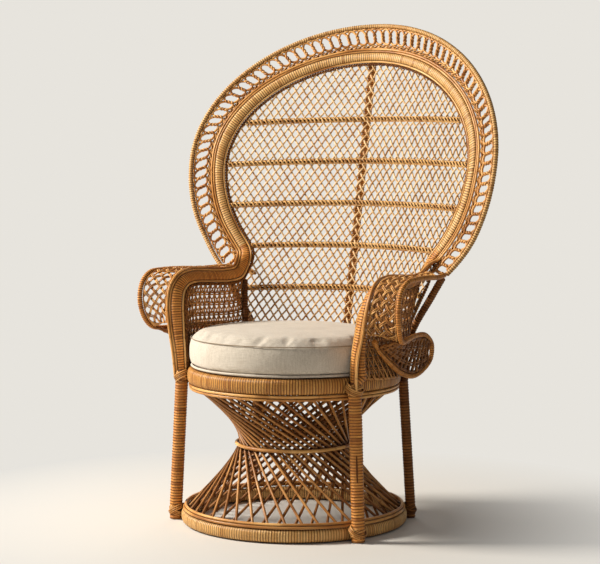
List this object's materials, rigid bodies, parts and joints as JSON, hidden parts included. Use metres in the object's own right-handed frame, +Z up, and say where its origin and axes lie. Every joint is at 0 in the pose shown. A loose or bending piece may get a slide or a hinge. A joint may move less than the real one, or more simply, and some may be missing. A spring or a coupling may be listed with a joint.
{
  "type": "peacock chair",
  "caption": "Rattan peacock chair: hourglass cane cage base, wrapped seat ring, round linen cushion and tall open-weave fan back with scrolled arms.",
  "frame": {"origin": "on the floor, under the middle of the whole chair's bounding box", "axes": "+Z up, the sitter faces -Y, +X is the sitter's left"},
  "size_m": [1.0498, 0.8074, 1.4525],
  "materials": {
    "rattan_wrap": "satin cane wrapping",
    "rattan_light": "satin peeled cane",
    "rattan_dark": "shaded cane",
    "cushion_linen": "plain woven linen"
  },
  "bodies": {
    "chair_frame": {"base_ring": "rattan_wrap", "base_binding_lower": "rattan_light", "base_binding_upper": "rattan_light", "waist_ring": "rattan_light", "seat_ring": "rattan_wrap", "seat_binding_upper": "rattan_light", "seat_binding_lower": "rattan_light", "seat_deck": "rattan_dark", "cage_canes_outer": "rattan_light", "cage_canes_inner": "rattan_dark", "front_leg_left": "rattan_wrap", "front_leg_right": "rattan_wrap", "rear_leg_left": "rattan_wrap", "rear_leg_right": "rattan_wrap", "rear_strut_left": "rattan_wrap", "rear_strut_right": "rattan_wrap", "fan_side_post_left": "rattan_wrap", "fan_side_post_right": "rattan_wrap", "front_foot_tie_left": "rattan_light", "front_foot_tie_right": "rattan_light", "rear_foot_tie_left": "rattan_light", "rear_foot_tie_right": "rattan_light", "front_knot_left": "rattan_light", "front_knot_right": "rattan_light", "rear_knot_left": "rattan_light", "rear_knot_right": "rattan_light", "hoop_band": "rattan_wrap", "arm_band_left": "rattan_wrap", "arm_band_right": "rattan_wrap", "outer_piping": "rattan_light", "inner_piping": "rattan_light", "outer_rim": "rattan_wrap", "border_cane_front": "rattan_light", "border_cane_back": "rattan_light", "lattice_front": "rattan_light", "lattice_back": "rattan_light", "cross_rod_1": "rattan_dark", "cross_rod_2": "rattan_dark", "cross_rod_3": "rattan_dark", "cross_rod_4": "rattan_dark", "cross_rod_5": "rattan_dark", "cross_braid_1": "rattan_dark", "cross_braid_2": "rattan_dark", "cross_braid_3": "rattan_dark", "cross_braid_4": "rattan_dark", "cross_braid_5": "rattan_dark", "spine": "rattan_wrap", "arm_rim_left": "rattan_wrap", "arm_rim_right": "rattan_wrap", "arm_roll_left": "rattan_light", "arm_roll_right": "rattan_light", "arm_side_panel_left": "rattan_dark", "arm_side_panel_right": "rattan_dark", "arm_inner_panel_left": "rattan_light", "arm_inner_panel_right": "rattan_light"},
    "cushion": {"cushion": "cushion_linen"}
  },
  "joints": [
    {"name": "cushion_lift", "type": "slide", "parent": "chair_frame", "child": "cushion", "axis": [0, 0, 1], "range_m": [0, 0.3]}
  ]
}
